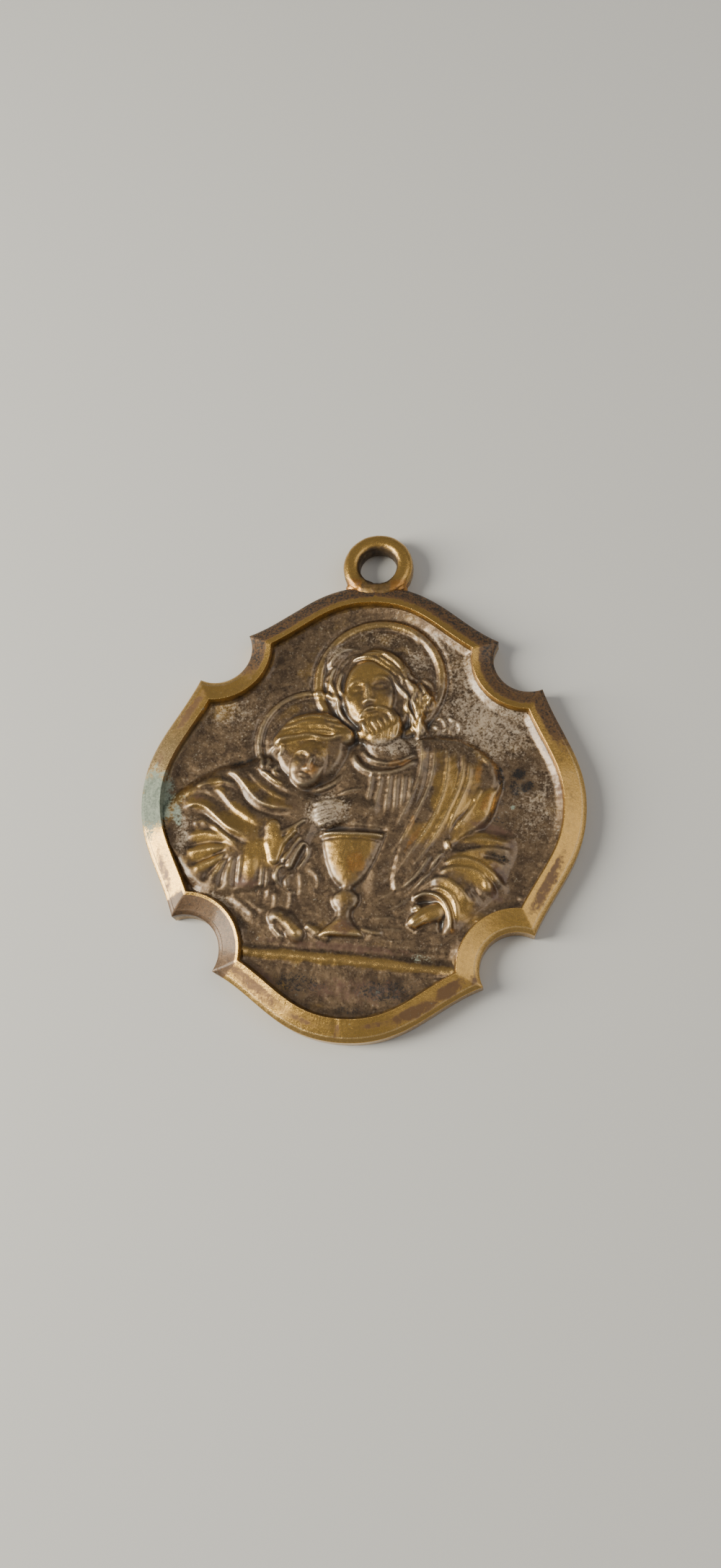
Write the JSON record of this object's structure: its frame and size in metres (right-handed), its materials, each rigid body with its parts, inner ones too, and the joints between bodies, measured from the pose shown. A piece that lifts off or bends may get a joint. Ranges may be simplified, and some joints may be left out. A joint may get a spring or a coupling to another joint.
{
  "type": "religious medal pendant",
  "caption": "Flat cast brass medal with a four-lobed notched outline, a raised rim, figures in relief and a hanging loop at the top.",
  "frame": {"origin": "on the flat back face, at the centre of the body without its loop", "axes": "+Y from the body's centre to the hanging loop, +Z out of the face with the relief, +X to the right seen from the front"},
  "size_m": [0.032, 0.0384, 0.0022],
  "materials": {
    "brass": "aged, satin, darkened in the recesses"
  },
  "bodies": {
    "root": {"medal": "brass"}
  },
  "joints": []
}
